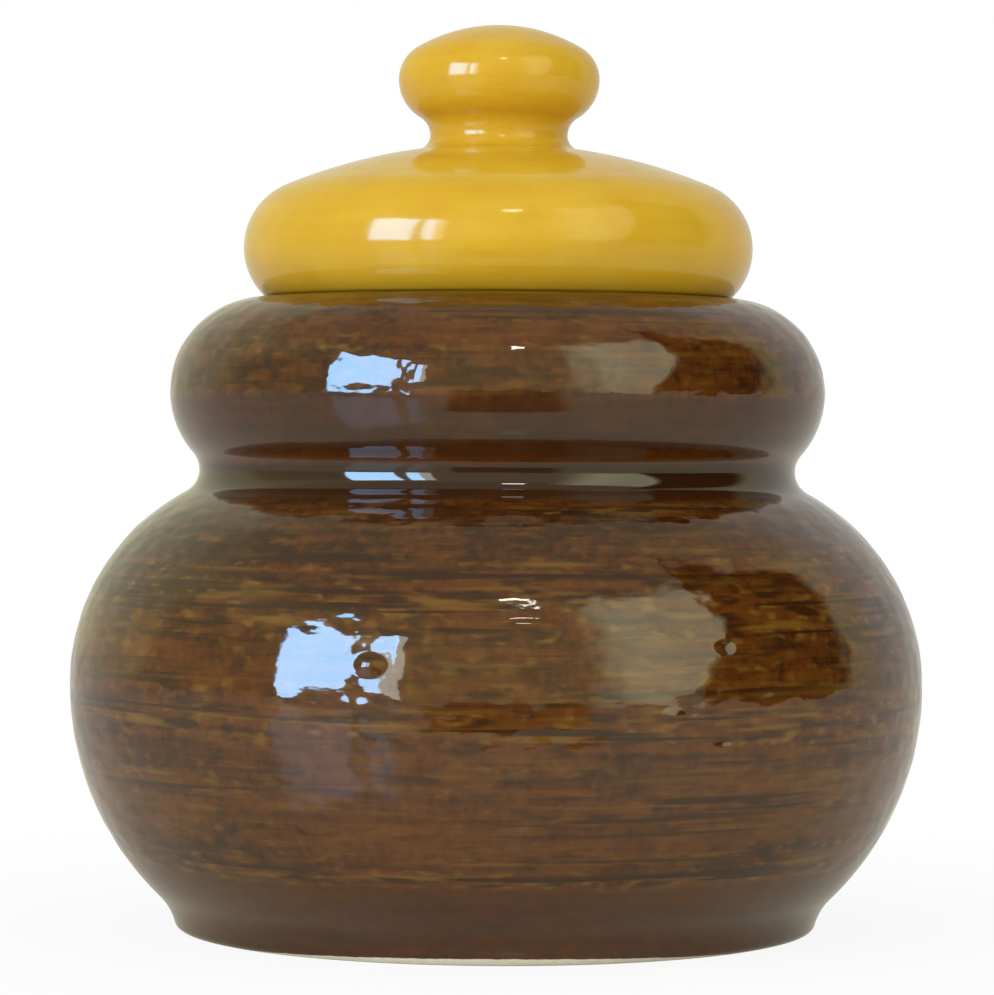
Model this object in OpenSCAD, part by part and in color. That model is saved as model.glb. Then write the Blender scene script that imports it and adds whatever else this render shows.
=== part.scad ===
// Lidded jam pot of fired clay: a round belly on a low foot, a collar above a pinched waist,
// and a domed lid that drops into the mouth and is lifted by its knob.
// All pieces are round about the upright axis, and the pot stands on the plane z = 0.

/* [Foot] */
// Diameter of the foot at the table
foot_d = 83; // [74:0.5:92]
// Height at which the side of the foot would run into the belly
foot_h = 2.6; // [1.6:0.1:6]
// Radius of the hollow curve between foot and belly
foot_cove_r = 8; // [3:0.5:10]
// Radius of the rounded edges that the pot stands on
foot_edge_r = 1.2; // [0.5:0.1:1.5]
// Width of the ring that the pot stands on
foot_ring_w = 5; // [4:0.5:12]
// Depth of the recess under the base
foot_recess = 2.2; // [1.6:0.1:4]

/* [Belly] */
// Diameter of the belly at its widest ring
belly_d = 110; // [96:1:130]
// Radius of the curve below the widest ring
belly_low_r = 37.8; // [32:0.1:44]
// Radius of the curve above the widest ring
belly_top_r = 28; // [22:0.5:34]
// Thickness of the pot's wall
wall = 4.5; // [3:0.25:6]
// Thickness of the pot's floor
floor_t = 4.5; // [3:0.25:8]
// Radius of the bend between floor and wall inside the pot
floor_bend_r = 6; // [2:0.5:12]

/* [Collar] */
// Diameter of the collar at its widest ring
collar_d = 84.6; // [76:0.2:92]
// Radius of the collar's curve
collar_r = 12.1; // [9:0.1:15]
// Depth of the waist under the collar's widest ring
waist_depth = 3.8; // [1.5:0.1:6]
// Radius of the hollow curve at the waist
waist_r = 3.2; // [2:0.1:7]
// Width of the level seat for the lid, from the mouth to the collar's curve
seat_w = 5.6; // [4:0.1:8]
// Radius of the rounded edges of the mouth
mouth_edge_r = 1; // [0.4:0.1:1.4]

/* [Lid] */
// Overhang of the lid's widest ring past the seat
lid_overhang = 2.7; // [1:0.1:5]
// Radius of the curve round the lid's edge
lid_edge_r = 8.7; // [7:0.1:11]
// Inset of the lid's rim under its widest ring
lid_tuck = 2.9; // [2.5:0.1:5]
// Radius of the lid's lower outer edge
rim_edge_r = 1.3; // [0.3:0.1:1.5]
// Radius of the dome
dome_r = 72; // [50:1:120]
// Thickness of the lid's wall
lid_wall = 4; // [3:0.25:5.5]
// Clearance round the lid's flange in the mouth
lid_clear = 0.8; // [0.4:0.1:1.5]
// Depth of the flange below the seat
flange_h = 6; // [3:0.5:12]
// Width of the flange
flange_w = 3.5; // [2.5:0.25:6]
// Radius of the rounded edges of the flange
flange_edge_r = 1; // [0.4:0.1:1.2]

/* [Knob] */
// Diameter of the neck where knob and lid are stuck together
neck_d = 17.8; // [12:0.2:22]
// Radius of the hollow curve from the dome up to the neck
neck_foot_r = 2; // [1:0.1:5]
// Radius of the hollow curve from the neck up to the knob
neck_cove_r = 2.7; // [1.5:0.1:5]
// Diameter of the knob at its widest ring
knob_d = 26; // [23:0.5:32]
// Radius of the knob's curve below its widest ring
knob_low_r = 5.7; // [4:0.1:9]
// Radius of the knob's curve above its widest ring
knob_top_r = 4.7; // [3:0.1:8]
// Radius of the knob's flattened top
knob_dome_r = 21; // [18:0.5:40]

/* [Hidden] */

// Facets in a full turn, and the widest turn and distance between points along a curve
$fn = 144;
arc_turn = 7.5;
arc_chord = 2;

// An outline is a list of [radius, height] points, and its curves are arcs that run into each other.
// A name that ends in _c is the centre of the arc that it names.

// Angle of the way from one point to another
function bearing(from, to) = atan2(to.y - from.y, to.x - from.x);

// An angle brought within half a turn either way
function short_way(angle) = angle - 360 * floor((angle + 180) / 360);

// Third side of a right triangle
function leg(long_side, side) = sqrt(long_side * long_side - side * side);

// Points along an arc the short way round, without the point that it starts at
function arc(centre, radius, start, end) =
    let (
        sweep = short_way(end - start),
        turn = min(arc_turn, arc_chord / radius * 180 / PI),
        steps = ceil(abs(sweep) / turn)
    )
    [for (i = [1 : steps]) let (angle = start + sweep * i / steps)
        centre + radius * [cos(angle), sin(angle)]];

// Point at given distances from two points, to the right of the way from the first to the second
function right_of(a, from_a, b, from_b) =
    let (
        gap = norm(b - a),
        way = (b - a) / gap,
        along = (gap * gap + from_a * from_a - from_b * from_b) / (2 * gap)
    )
    a + along * way + leg(from_a, along) * [way.y, -way.x];

// Foot and belly
foot_rad = foot_d / 2;
ring_rad = foot_rad - foot_ring_w;
belly_rad = belly_d / 2;
belly_low_x = belly_rad - belly_low_r;
belly_z = foot_h + leg(belly_low_r, foot_rad - belly_low_x);
belly_low_c = [belly_low_x, belly_z];
belly_top_c = [belly_rad - belly_top_r, belly_z];
foot_edge_c = [foot_rad - foot_edge_r, foot_edge_r];
ring_edge_c = [ring_rad + foot_edge_r, foot_edge_r];
foot_cove_c = right_of(foot_edge_c, foot_edge_r + foot_cove_r, belly_low_c, belly_low_r + foot_cove_r);

// Waist and collar
collar_x = collar_d / 2 - collar_r;
waist_x = collar_d / 2 - waist_depth + waist_r;
waist_c = [waist_x, belly_z + leg(belly_top_r + waist_r, waist_x - belly_top_c.x)];
collar_c = [collar_x, waist_c.y + leg(collar_r + waist_r, waist_x - collar_x)];

// Seat and mouth
seat_z = collar_c.y + collar_r;
mouth_rad = collar_x - seat_w;
mouth_top_c = [mouth_rad + mouth_edge_r, seat_z - mouth_edge_r];
mouth_low_c = [mouth_rad + mouth_edge_r, seat_z - wall + mouth_edge_r];

// Inside of the pot
floor_z = foot_recess + floor_t;
bend_z = floor_z + floor_bend_r;
bend_c = [belly_low_x + leg(belly_low_r - wall - floor_bend_r, belly_z - bend_z), bend_z];

// Edge and dome of the lid
lid_rad = collar_x + lid_overhang;
lid_edge_h = leg(lid_edge_r, lid_edge_r - lid_tuck);
lid_edge_c = [lid_rad - lid_edge_r, seat_z + lid_edge_h];
rim_edge_c = [lid_edge_c.x + leg(lid_edge_r - rim_edge_r, lid_edge_h - rim_edge_r), seat_z + rim_edge_r];
dome_c = [0, lid_edge_c.y - leg(dome_r - lid_edge_r, lid_edge_c.x)];
dome_end = bearing(dome_c, lid_edge_c);

// Flange and inside of the lid
flange_rad = mouth_rad - lid_clear;
flange_in_rad = flange_rad - flange_w;
flange_z = seat_z - flange_h;
ledge_z = seat_z + lid_wall;
edge_in_r = lid_edge_r - lid_wall;
ledge_end = asin((ledge_z - lid_edge_c.y) / edge_in_r);
flange_out_c = [flange_rad - flange_edge_r, flange_z + flange_edge_r];
flange_in_c = [flange_in_rad + flange_edge_r, flange_z + flange_edge_r];
ledge_edge_c = [flange_in_rad + flange_edge_r, ledge_z - flange_edge_r];

// Neck and knob
neck_rad = neck_d / 2;
neck_foot_x = neck_rad + neck_foot_r;
neck_z = dome_c.y + leg(dome_r + neck_foot_r, neck_foot_x);
neck_foot_c = [neck_foot_x, neck_z];
neck_cove_c = [neck_rad + neck_cove_r, neck_z];
knob_low_x = knob_d / 2 - knob_low_r;
knob_z = neck_z + leg(knob_low_r + neck_cove_r, neck_cove_c.x - knob_low_x);
knob_low_c = [knob_low_x, knob_z];
knob_top_c = [knob_d / 2 - knob_top_r, knob_z];
knob_dome_c = [0, knob_z - leg(knob_dome_r - knob_top_r, knob_top_c.x)];

// Underside and outside of the pot, from the middle of the base up to the seat
pot_outside = concat(
    [[0, foot_recess], [ring_rad, foot_recess], [ring_rad, foot_edge_r]],
    arc(ring_edge_c, foot_edge_r, 180, -90),
    [[foot_edge_c.x, 0]],
    arc(foot_edge_c, foot_edge_r, -90, bearing(foot_edge_c, foot_cove_c)),
    arc(foot_cove_c, foot_cove_r, bearing(foot_cove_c, foot_edge_c), bearing(foot_cove_c, belly_low_c)),
    arc(belly_low_c, belly_low_r, bearing(belly_low_c, foot_cove_c), 0),
    arc(belly_top_c, belly_top_r, 0, bearing(belly_top_c, waist_c)),
    arc(waist_c, waist_r, bearing(waist_c, belly_top_c), bearing(waist_c, collar_c)),
    arc(collar_c, collar_r, bearing(collar_c, waist_c), 90)
);

// Mouth and inside of the pot, one wall's thickness in from the outside, down to the floor
pot_inside = concat(
    [[mouth_top_c.x, seat_z]],
    arc(mouth_top_c, mouth_edge_r, 90, 180),
    [[mouth_rad, mouth_low_c.y]],
    arc(mouth_low_c, mouth_edge_r, 180, 270),
    [[collar_x, seat_z - wall]],
    arc(collar_c, collar_r - wall, 90, bearing(collar_c, waist_c)),
    arc(waist_c, waist_r + wall, bearing(waist_c, collar_c), bearing(waist_c, belly_top_c)),
    arc(belly_top_c, belly_top_r - wall, bearing(belly_top_c, waist_c), 0),
    arc(belly_low_c, belly_low_r - wall, 0, bearing(belly_low_c, bend_c)),
    arc(bend_c, floor_bend_r, bearing(belly_low_c, bend_c), -90),
    [[0, floor_z]]
);

// Outside of the lid, from the seat up to the neck
lid_outside = concat(
    [[flange_rad, seat_z], [rim_edge_c.x, seat_z]],
    arc(rim_edge_c, rim_edge_r, -90, bearing(lid_edge_c, rim_edge_c)),
    arc(lid_edge_c, lid_edge_r, bearing(lid_edge_c, rim_edge_c), dome_end),
    arc(dome_c, dome_r, dome_end, bearing(dome_c, neck_foot_c)),
    arc(neck_foot_c, neck_foot_r, bearing(neck_foot_c, dome_c), 180),
    [[0, neck_z]]
);

// Inside of the lid, one wall's thickness in, then down the flange and up to the seat
lid_inside = concat(
    [[0, dome_c.y + dome_r - lid_wall]],
    arc(dome_c, dome_r - lid_wall, 90, dome_end),
    arc(lid_edge_c, edge_in_r, dome_end, ledge_end),
    [[ledge_edge_c.x, ledge_z]],
    arc(ledge_edge_c, flange_edge_r, 90, 180),
    [[flange_in_rad, flange_in_c.y]],
    arc(flange_in_c, flange_edge_r, 180, 270),
    [[flange_out_c.x, flange_z]],
    arc(flange_out_c, flange_edge_r, -90, 0)
);

// Outside of the knob, from the neck up to the crown
knob_outside = concat(
    [[0, neck_z], [neck_rad, neck_z]],
    arc(neck_cove_c, neck_cove_r, 180, bearing(neck_cove_c, knob_low_c)),
    arc(knob_low_c, knob_low_r, bearing(knob_low_c, neck_cove_c), 0),
    arc(knob_top_c, knob_top_r, 0, bearing(knob_dome_c, knob_top_c)),
    arc(knob_dome_c, knob_dome_r, bearing(knob_dome_c, knob_top_c), 90)
);

// Vessel with foot, belly, waist, collar and mouth, all in one piece of clay
module pot() {
    color("saddlebrown")
        rotate_extrude()
            polygon(concat(pot_outside, pot_inside));
}

// Hollow domed lid with the flange that centres it in the mouth
module lid() {
    color("goldenrod")
        rotate_extrude()
            polygon(concat(lid_outside, lid_inside));
}

// Solid knob that stands on the neck of the lid
module knob() {
    color("goldenrod")
        rotate_extrude()
            polygon(knob_outside);
}

pot();
lid();
knob();
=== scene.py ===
"""Jam pot of glazed clay: brushed brown pot, yellow lid and yellow knob, in a plain studio.

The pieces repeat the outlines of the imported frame, in millimetres, and are turned about the upright axis.
"""

import logging
import math
from dataclasses import astuple, dataclass, field
from enum import Enum

import bpy
from mathutils import Euler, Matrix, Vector
from mathutils.kdtree import KDTree

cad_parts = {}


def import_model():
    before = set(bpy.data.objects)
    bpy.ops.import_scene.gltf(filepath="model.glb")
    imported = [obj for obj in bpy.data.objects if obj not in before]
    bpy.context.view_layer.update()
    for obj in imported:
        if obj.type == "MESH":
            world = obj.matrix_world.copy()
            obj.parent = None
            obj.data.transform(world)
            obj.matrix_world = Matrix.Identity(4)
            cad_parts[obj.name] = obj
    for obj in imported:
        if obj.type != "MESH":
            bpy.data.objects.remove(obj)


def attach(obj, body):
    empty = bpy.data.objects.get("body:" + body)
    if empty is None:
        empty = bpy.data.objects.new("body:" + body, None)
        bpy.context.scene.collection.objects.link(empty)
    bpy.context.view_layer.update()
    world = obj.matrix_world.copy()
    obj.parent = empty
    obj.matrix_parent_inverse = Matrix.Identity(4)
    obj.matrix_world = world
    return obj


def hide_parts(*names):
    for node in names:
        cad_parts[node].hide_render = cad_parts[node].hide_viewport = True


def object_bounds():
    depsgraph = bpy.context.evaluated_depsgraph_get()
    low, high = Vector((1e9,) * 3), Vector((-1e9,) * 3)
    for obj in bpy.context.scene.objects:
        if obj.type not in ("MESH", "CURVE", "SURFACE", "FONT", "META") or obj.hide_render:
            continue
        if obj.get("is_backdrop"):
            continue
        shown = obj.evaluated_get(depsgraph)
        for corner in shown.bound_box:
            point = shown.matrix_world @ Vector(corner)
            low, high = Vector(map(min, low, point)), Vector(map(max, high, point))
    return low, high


LOG = logging.getLogger("jam_pot")
MM = 0.001

Colour = tuple[float, float, float]
Piece = bpy.types.Object
Socket = bpy.types.NodeSocket

WHITE: Colour = (1.0, 1.0, 1.0)
NOISE_MIDDLE = 0.5


def bearing(start: Vector, end: Vector) -> float:
    """Return the angle in degrees of the way from start to end."""
    return math.degrees(math.atan2(end.y - start.y, end.x - start.x))


def leg(long_side: float, side: float) -> float:
    """Return the third side of a right triangle."""
    return math.sqrt(long_side * long_side - side * side)


def right_of(a: Vector, from_a: float, b: Vector, from_b: float) -> Vector:
    """Find the point at given distances from two points, to the right of the way between them.

    Args:
        a: First point.
        from_a: Distance from the first point.
        b: Second point.
        from_b: Distance from the second point.

    Returns:
        The point.
    """
    gap = (b - a).length
    way = (b - a) / gap
    along = (gap * gap + from_a * from_a - from_b * from_b) / (2 * gap)
    return a + along * way + leg(from_a, along) * Vector((way.y, -way.x))


def soften(share: float) -> float:
    """Give a share from 0 to 1 soft ends."""
    return share * share * (3.0 - 2.0 * share)


def assign(target: object, settings: dict[str, object]) -> None:
    """Set several properties of a node or a modifier."""
    for key, value in settings.items():
        setattr(target, key, value)


def pick(piece: Piece) -> None:
    """Select one piece alone and make it the active one."""
    bpy.ops.object.select_all(action="DESELECT")
    piece.select_set(True)
    bpy.context.view_layer.objects.active = piece


def keep(piece: Piece, name: str, values: list[float]) -> None:
    """Keep one number for each vertex of a piece under a name."""
    piece.data.attributes.new(name, "FLOAT", "POINT").data.foreach_set("value", values)


def push(piece: Piece, group: str, depth: float, **settings: object) -> None:
    """Move the surface of the active piece out or in, as far as a vertex group weighs it.

    Args:
        piece: Active piece.
        group: Name of the vertex group.
        depth: Distance at full weight, in millimetres.
        settings: Further properties of the Displace modifier and their values.
    """
    displace = piece.modifiers.new(group, "DISPLACE")
    displace.vertex_group = group
    displace.strength = depth * MM
    assign(displace, settings)
    bpy.ops.object.modifier_apply(modifier=displace.name)


class Zone(Enum):
    """Kind of surface along an outline."""

    BRUSHED = "glaze over brush marks"
    DABBED = "glaze over faint marks"
    PLAIN = "even glaze outside"
    INSIDE = "even glaze out of sight"
    BARE = "clay without glaze"


MARK_STRENGTH: dict[Zone, float] = {Zone.BRUSHED: 1.0, Zone.DABBED: 0.9}


@dataclass(frozen=True)
class Ring:
    """Ring round the pot where the brush pressed harder, or where the glaze is painted lighter or darker as
    painted light and shade.

    Attributes:
        height: Height above the floor, in millimetres.
        width: Half width of the ring, in millimetres.
        strength: How much stronger the marks are, or how much lighter the glaze is painted.
    """

    height: float
    width: float
    strength: float


@dataclass
class Outline:
    """Half outline of a turned piece, walked from the axis round to the axis, in millimetres.

    Attributes:
        spacing: Distance between points on each kind of surface.
        widest_turn: Largest turn between two points on a curve, in degrees.
        points: Radius and height of each point.
        zones: Kind of surface at each point.
        brush_rows: Rings where the brush pressed harder.
        painted_shading_rings: Rings where the glaze is painted lighter, or darker below 0, as painted light
            and shade.
    """

    spacing: dict[Zone, float]
    widest_turn: float = 12.0
    points: list[Vector] = field(default_factory=list)
    zones: list[Zone] = field(default_factory=list)
    brush_rows: tuple[Ring, ...] = ()
    painted_shading_rings: tuple[Ring, ...] = ()

    def put(self, point: Vector, zone: Zone) -> None:
        """Put the next point of the outline."""
        self.points.append(point.copy())
        self.zones.append(zone)

    def line(self, end: Vector, zone: Zone) -> None:
        """Walk straight to a point.

        Args:
            end: Point where the line ends.
            zone: Kind of surface along the line.
        """
        begin = self.points[-1].copy()
        steps = max(1, math.ceil((end - begin).length / self.spacing[zone]))
        for i in range(1, steps + 1):
            self.put(begin.lerp(end, i / steps), zone)

    def arc(self, centre: Vector, radius: float, begin: float, end: float, zone: Zone) -> None:
        """Walk along an arc the short way round, from the point that the outline has reached.

        Args:
            centre: Centre of the arc.
            radius: Radius of the arc.
            begin: Bearing of the start from the centre, in degrees.
            end: Bearing of the end from the centre, in degrees.
            zone: Kind of surface along the arc.
        """
        sweep = (end - begin + 180.0) % 360.0 - 180.0
        turn = min(self.widest_turn, math.degrees(self.spacing[zone] / radius))
        steps = math.ceil(abs(sweep) / turn)
        for i in range(1, steps + 1):
            angle = math.radians(begin + sweep * i / steps)
            self.put(centre + radius * Vector((math.cos(angle), math.sin(angle))), zone)

    def runs(self) -> list[float]:
        """Measure how far along the outline each point lies.

        Returns:
            One length for each point, in millimetres.
        """
        total = 0.0
        lengths = [total]
        for before, after in zip(self.points, self.points[1:]):
            total += (after - before).length
            lengths.append(total)
        return lengths

    def edges_of(self, zone: Zone, reach: float) -> list[float]:
        """Measure how far each point lies from the nearest stretch of one kind of surface.

        Args:
            zone: Kind of surface.
            reach: Largest distance that is told apart.

        Returns:
            One distance for each point, which is negative within the stretch.
        """
        runs = self.runs()
        stretches = []
        for run, here, before in zip(runs, self.zones, [None, *self.zones]):
            if here is zone and before is not zone:
                stretches.append([run, run])
            elif here is zone:
                stretches[-1][1] = run
        gaps = []
        for run in runs:
            nearest = min((max(low - run, run - high) for low, high in stretches), default=reach)
            gaps.append(max(-reach, min(reach, nearest)))
        return gaps

    def marks(self, fade: float) -> list[float]:
        """Weigh how strongly the brush marked each point.

        Args:
            fade: Length over which marks die out at the end of their stretch.

        Returns:
            One weight for each point, from 0 to 1.
        """
        weights = [0.0] * len(self.points)
        for zone, strength in MARK_STRENGTH.items():
            for i, gap in enumerate(self.edges_of(zone, fade)):
                weights[i] += strength * soften(max(0.0, -gap) / fade)
        return weights

    def weights(self, rings: tuple[Ring, ...]) -> list[float]:
        """Weigh some rings at each point.

        Args:
            rings: Rings round the piece.

        Returns:
            One weight for each point, 0 away from the rings.
        """
        return [
            sum(ring.strength * math.exp(-(((point.y - ring.height) / ring.width) ** 2)) for ring in rings)
            for point in self.points
        ]


@dataclass(frozen=True)
class Ripple:
    """One layer of unevenness that the brush and the wheel leave in the surface.

    Attributes:
        name: Name of the layer.
        length: Length of a ripple round the piece, in millimetres.
        height: Height of a ripple, in millimetres.
        depth: Depth from crest to hollow, in millimetres.
    """

    name: str
    length: float
    height: float
    depth: float


@dataclass(frozen=True)
class Blister:
    """Drop or pit in the glaze.

    Attributes:
        azimuth: Side that it is on, in degrees to the right of the front.
        height: Height of its middle above the floor, in millimetres.
        length: Length round the piece, in millimetres.
        tall: Length up the piece, in millimetres.
        rise: How far it stands out, in millimetres, or less than 0 for a pit.
        pool: Share of dark glaze that it holds.
    """

    azimuth: float
    height: float
    length: float
    tall: float
    rise: float
    pool: float = 0.0

    def reach(self, place: Vector) -> float:
        """Measure how far out from the middle a place is.

        Args:
            place: Place on the piece, in metres.

        Returns:
            The distance, where 1 is the edge.
        """
        around = math.remainder(math.atan2(place.x, -place.y) - math.radians(self.azimuth), math.tau)
        sideways = around * math.hypot(place.x, place.y) / MM
        upwards = place.z / MM - self.height
        return math.hypot(2.0 * sideways / self.length, 2.0 * upwards / self.tall)

    def bulge(self, place: Vector) -> float:
        """Return the share of the rise at a place, 1 in the middle and 0 from the edge on."""
        return max(0.0, 1.0 - self.reach(place) ** 2) ** 2


@dataclass(frozen=True)
class Wheel:
    """Potter's wheel that turns a half outline into a closed piece.

    Attributes:
        segments: Steps in a full turn.
        fade: Length over which brush marks die out at the end of their stretch, in millimetres.
        reach: Largest distance from bare clay that a piece keeps, in millimetres.
        weld: Distance within which points are joined, in millimetres.
        margin: How far out from a blister's middle the mesh is finer, where 1 is its edge.
        crease: Angle from which an edge stays sharp, in degrees.
    """

    segments: int
    fade: float = 1.8
    reach: float = 5.0
    weld: float = 0.001
    margin: float = 1.5
    crease: float = 35.0

    def turn(self, name: str, outline: Outline) -> Piece:
        """Draw an outline point by point and turn it into a closed mesh.

        Args:
            name: Name of the piece.
            outline: Half outline of the piece.

        Returns:
            The piece, with what the outline says kept as attributes.
        """
        bpy.ops.object.select_all(action="DESELECT")
        bpy.ops.mesh.primitive_plane_add(size=MM)
        piece = bpy.context.active_object
        piece.name = name
        piece.data.name = name
        bpy.ops.object.mode_set(mode="EDIT")
        bpy.ops.mesh.select_mode(type="VERT")
        bpy.ops.mesh.select_all(action="SELECT")
        bpy.ops.mesh.merge(type="CENTER")
        places = [Vector((point.x, 0.0, point.y)) * MM for point in outline.points]
        bpy.ops.transform.translate(value=places[0])
        for before, after in zip(places, places[1:]):
            bpy.ops.mesh.extrude_region_move(TRANSFORM_OT_translate={"value": after - before})
        bpy.ops.mesh.select_all(action="SELECT")
        bpy.ops.mesh.spin(steps=self.segments, angle=math.tau, center=(0, 0, 0), axis=(0, 0, 1))
        bpy.ops.mesh.select_all(action="SELECT")
        bpy.ops.mesh.remove_doubles(threshold=self.weld * MM)
        bpy.ops.mesh.normals_make_consistent(inside=False)
        bpy.ops.object.mode_set(mode="OBJECT")
        self._mark(piece, outline)
        return piece

    def _mark(self, piece: Piece, outline: Outline) -> None:
        """Keep what the outline says at every vertex, and its brush marks as a vertex group too.

        Args:
            piece: Turned piece.
            outline: Half outline that it was turned from.
        """
        tree = KDTree(len(outline.points))
        for i, point in enumerate(outline.points):
            tree.insert((point.x, point.y, 0.0), i)
        tree.balance()
        nearest = []
        for vertex in piece.data.vertices:
            radius = math.hypot(vertex.co.x, vertex.co.y) / MM
            nearest.append(tree.find((radius, vertex.co.z / MM, 0.0))[1])
        marks = {
            "run": outline.runs(),
            "clay_gap": outline.edges_of(Zone.BARE, self.reach),
            "brushed": outline.marks(self.fade),
            "pressed": outline.weights(outline.brush_rows),
            # The painted shading rings carry painted light and shade by height.
            "coat": outline.weights(outline.painted_shading_rings),
        }
        for name, values in marks.items():
            keep(piece, name, [values[i] for i in nearest])
        rings: dict[int, list[int]] = {}
        for index, ring in enumerate(nearest):
            rings.setdefault(ring, []).append(index)
        group = piece.vertex_groups.new(name="brushed")
        for ring, members in rings.items():
            group.add(members, marks["brushed"][ring], "REPLACE")

    def ripple(self, piece: Piece, layers: tuple[Ripple, ...]) -> None:
        """Press layers of unevenness into the brushed stretch, and keep their height as an attribute.

        Args:
            piece: Turned piece.
            layers: Layers of unevenness.
        """
        before = [vertex.co.copy() for vertex in piece.data.vertices]
        ways = [vertex.normal.copy() for vertex in piece.data.vertices]
        for layer in layers:
            bpy.ops.object.select_all(action="DESELECT")
            bpy.ops.object.empty_add(type="PLAIN_AXES")
            guide = bpy.context.active_object
            guide.scale = Vector((layer.length, layer.length, layer.height)) * MM
            texture = bpy.data.textures.new(layer.name, "CLOUDS")
            texture.noise_scale = 1.0
            texture.noise_depth = 1
            pick(piece)
            guided = {"texture": texture, "texture_coords": "OBJECT", "texture_coords_object": guide}
            push(piece, "brushed", layer.depth, **guided)
            bpy.data.objects.remove(guide)
            bpy.data.textures.remove(texture)
        deepest = sum(layer.depth for layer in layers) / 2.0 * MM
        moved = zip(piece.data.vertices, before, ways)
        keep(piece, "relief", [(vertex.co - place).dot(way) / deepest for vertex, place, way in moved])

    def blister(self, piece: Piece, blisters: tuple[Blister, ...], cuts: int = 0) -> None:
        """Raise drops and sink pits in the glaze, on a mesh that can be finer there.

        Args:
            piece: Turned piece.
            blisters: Drops and pits.
            cuts: Cuts in each edge under them.
        """
        pick(piece)
        bpy.ops.object.mode_set(mode="EDIT")
        bpy.ops.mesh.select_mode(type="FACE")
        bpy.ops.mesh.select_all(action="DESELECT")
        bpy.ops.object.mode_set(mode="OBJECT")
        for face in piece.data.polygons:
            outside = face.normal.xy.dot(face.center.xy) > 0.0
            face.select = outside and any(blister.reach(face.center) < self.margin for blister in blisters)
        bpy.ops.object.mode_set(mode="EDIT")
        if cuts:
            bpy.ops.mesh.subdivide(number_cuts=cuts)
        bpy.ops.object.mode_set(mode="OBJECT")
        for name, way in (("drops", 1.0), ("pits", -1.0)):
            members = [blister for blister in blisters if blister.rise * way > 0.0]
            if members:
                self._swell(piece, name, members, max(blister.rise * way for blister in members) * way)

    def _swell(self, piece: Piece, name: str, blisters: list[Blister], most: float) -> None:
        """Push the selected part of a piece out or in under some blisters.

        Args:
            piece: Turned piece, with the faces under the blisters selected.
            name: Name of the blisters.
            blisters: Drops alone, or pits alone.
            most: Furthest that one of them stands out, in millimetres.
        """
        group = piece.vertex_groups.new(name=name)
        if "pooled" not in piece.data.attributes:
            piece.data.attributes.new("pooled", "FLOAT", "POINT")
        pooled = piece.data.attributes["pooled"].data
        for vertex in piece.data.vertices:
            if vertex.select:
                bulges = [blister.bulge(vertex.co) for blister in blisters]
                weight = max(blister.rise / most * bulge for blister, bulge in zip(blisters, bulges))
                group.add([vertex.index], weight, "REPLACE")
                held = max(blister.pool * bulge for blister, bulge in zip(blisters, bulges))
                pooled[vertex.index].value = max(held, pooled[vertex.index].value)
        push(piece, group.name, most, mid_level=0.0)

    def finish(self, piece: Piece, material: bpy.types.Material) -> None:
        """Round off the shading of a piece and give it its glaze.

        Args:
            piece: Turned piece.
            material: Glaze of the piece.
        """
        pick(piece)
        bpy.ops.object.shade_smooth_by_angle(angle=math.radians(self.crease))
        piece.data.materials.clear()
        piece.data.materials.append(material)


@dataclass(frozen=True)
class Span:
    """Stretch over which a value turns softly into another.

    Attributes:
        low: Value where the stretch begins.
        high: Value where it ends, which may be below the beginning.
        to_low: Result at the beginning.
        to_high: Result at the end.
    """

    low: float
    high: float
    to_low: float = 0.0
    to_high: float = 1.0


@dataclass(frozen=True)
class Specks:
    """Noise stretched round a piece.

    Attributes:
        length: Length of a speck round the piece, in millimetres.
        height: Height of a speck, in millimetres.
        detail: Levels of finer noise.
        shift: Distance along the run that tells this noise from others.
        fineness: How strongly each finer level shows.
    """

    length: float
    height: float
    detail: float = 2.0
    shift: float = 0.0
    fineness: float = 0.55


@dataclass(frozen=True)
class Mark:
    """Kind of mark that shows where a noise is high enough.

    Attributes:
        specks: Noise that the marks follow.
        shows: Stretch of the noise over which a mark comes out.
    """

    specks: Specks
    shows: Span


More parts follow.
